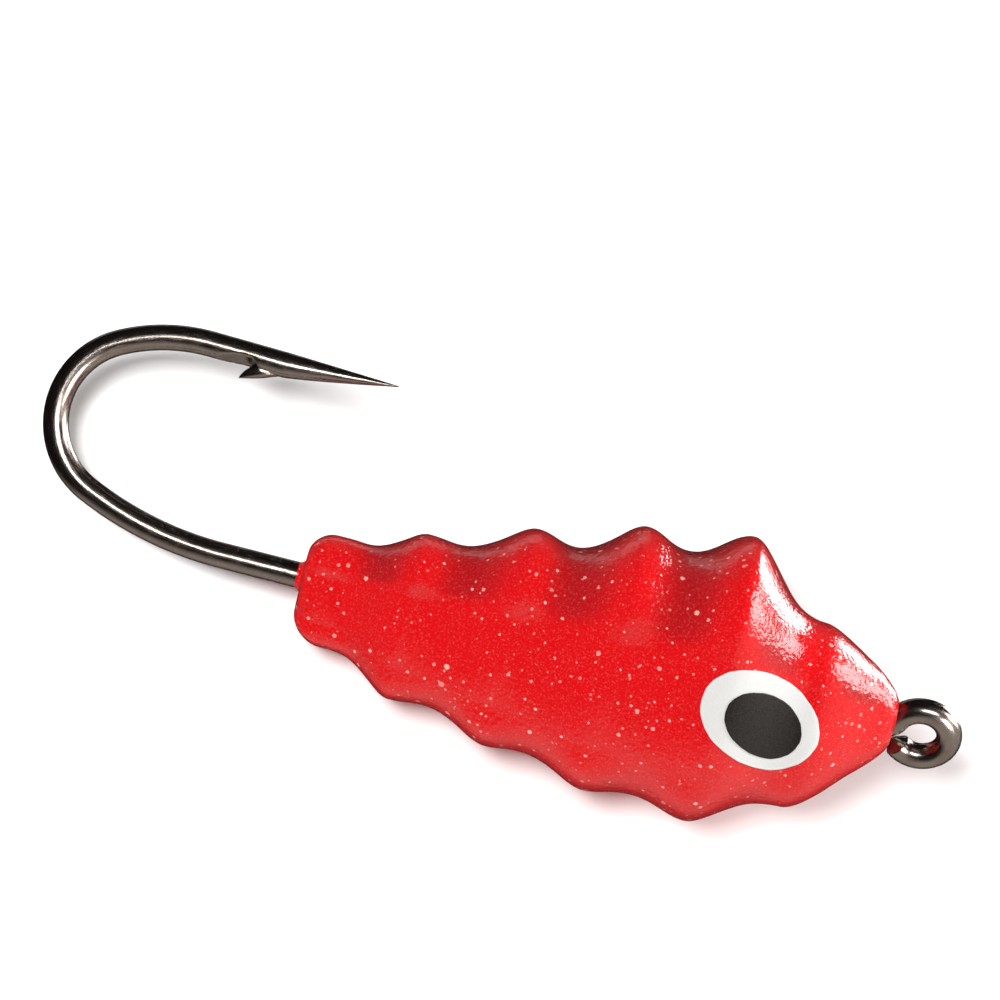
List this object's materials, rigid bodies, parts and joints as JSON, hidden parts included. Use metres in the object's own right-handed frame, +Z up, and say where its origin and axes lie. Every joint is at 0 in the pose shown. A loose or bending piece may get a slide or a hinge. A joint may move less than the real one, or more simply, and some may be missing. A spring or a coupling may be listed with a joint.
{
  "type": "jig head",
  "caption": "Painted lead jig head with a ringed, grub-shaped body cast round a one-piece hook, a wire line eye at the nose and a painted eye on each flank.",
  "frame": {"origin": "centre of the bounding box on the table that the jig lies on", "axes": "+X along the shank towards the nose and the line eye, +Y towards the back and the hook point, +Z up, out of the right flank, with the jig at rest on its left flank"},
  "size_m": [0.0242, 0.0088, 0.0073],
  "materials": {
    "hook_wire": "black nickel plated, glossy",
    "cast_lead": "bare cast lead alloy, dull, hidden",
    "base_paint": "white base paint, hidden",
    "colour_paint": "red paint",
    "glitter_clear": "glossy red-tinted clear coat with fine silver-pink glitter",
    "eye_white_paint": "white enamel",
    "pupil_paint": "black enamel"
  },
  "bodies": {
    "root": {"hook": "hook_wire", "lead_body": "cast_lead", "base_coat": "base_paint", "colour_coat": "colour_paint", "clear_coat": "glitter_clear", "eye_white_left": "eye_white_paint", "eye_white_right": "eye_white_paint", "pupil_left": "pupil_paint", "pupil_right": "pupil_paint"}
  },
  "joints": []
}
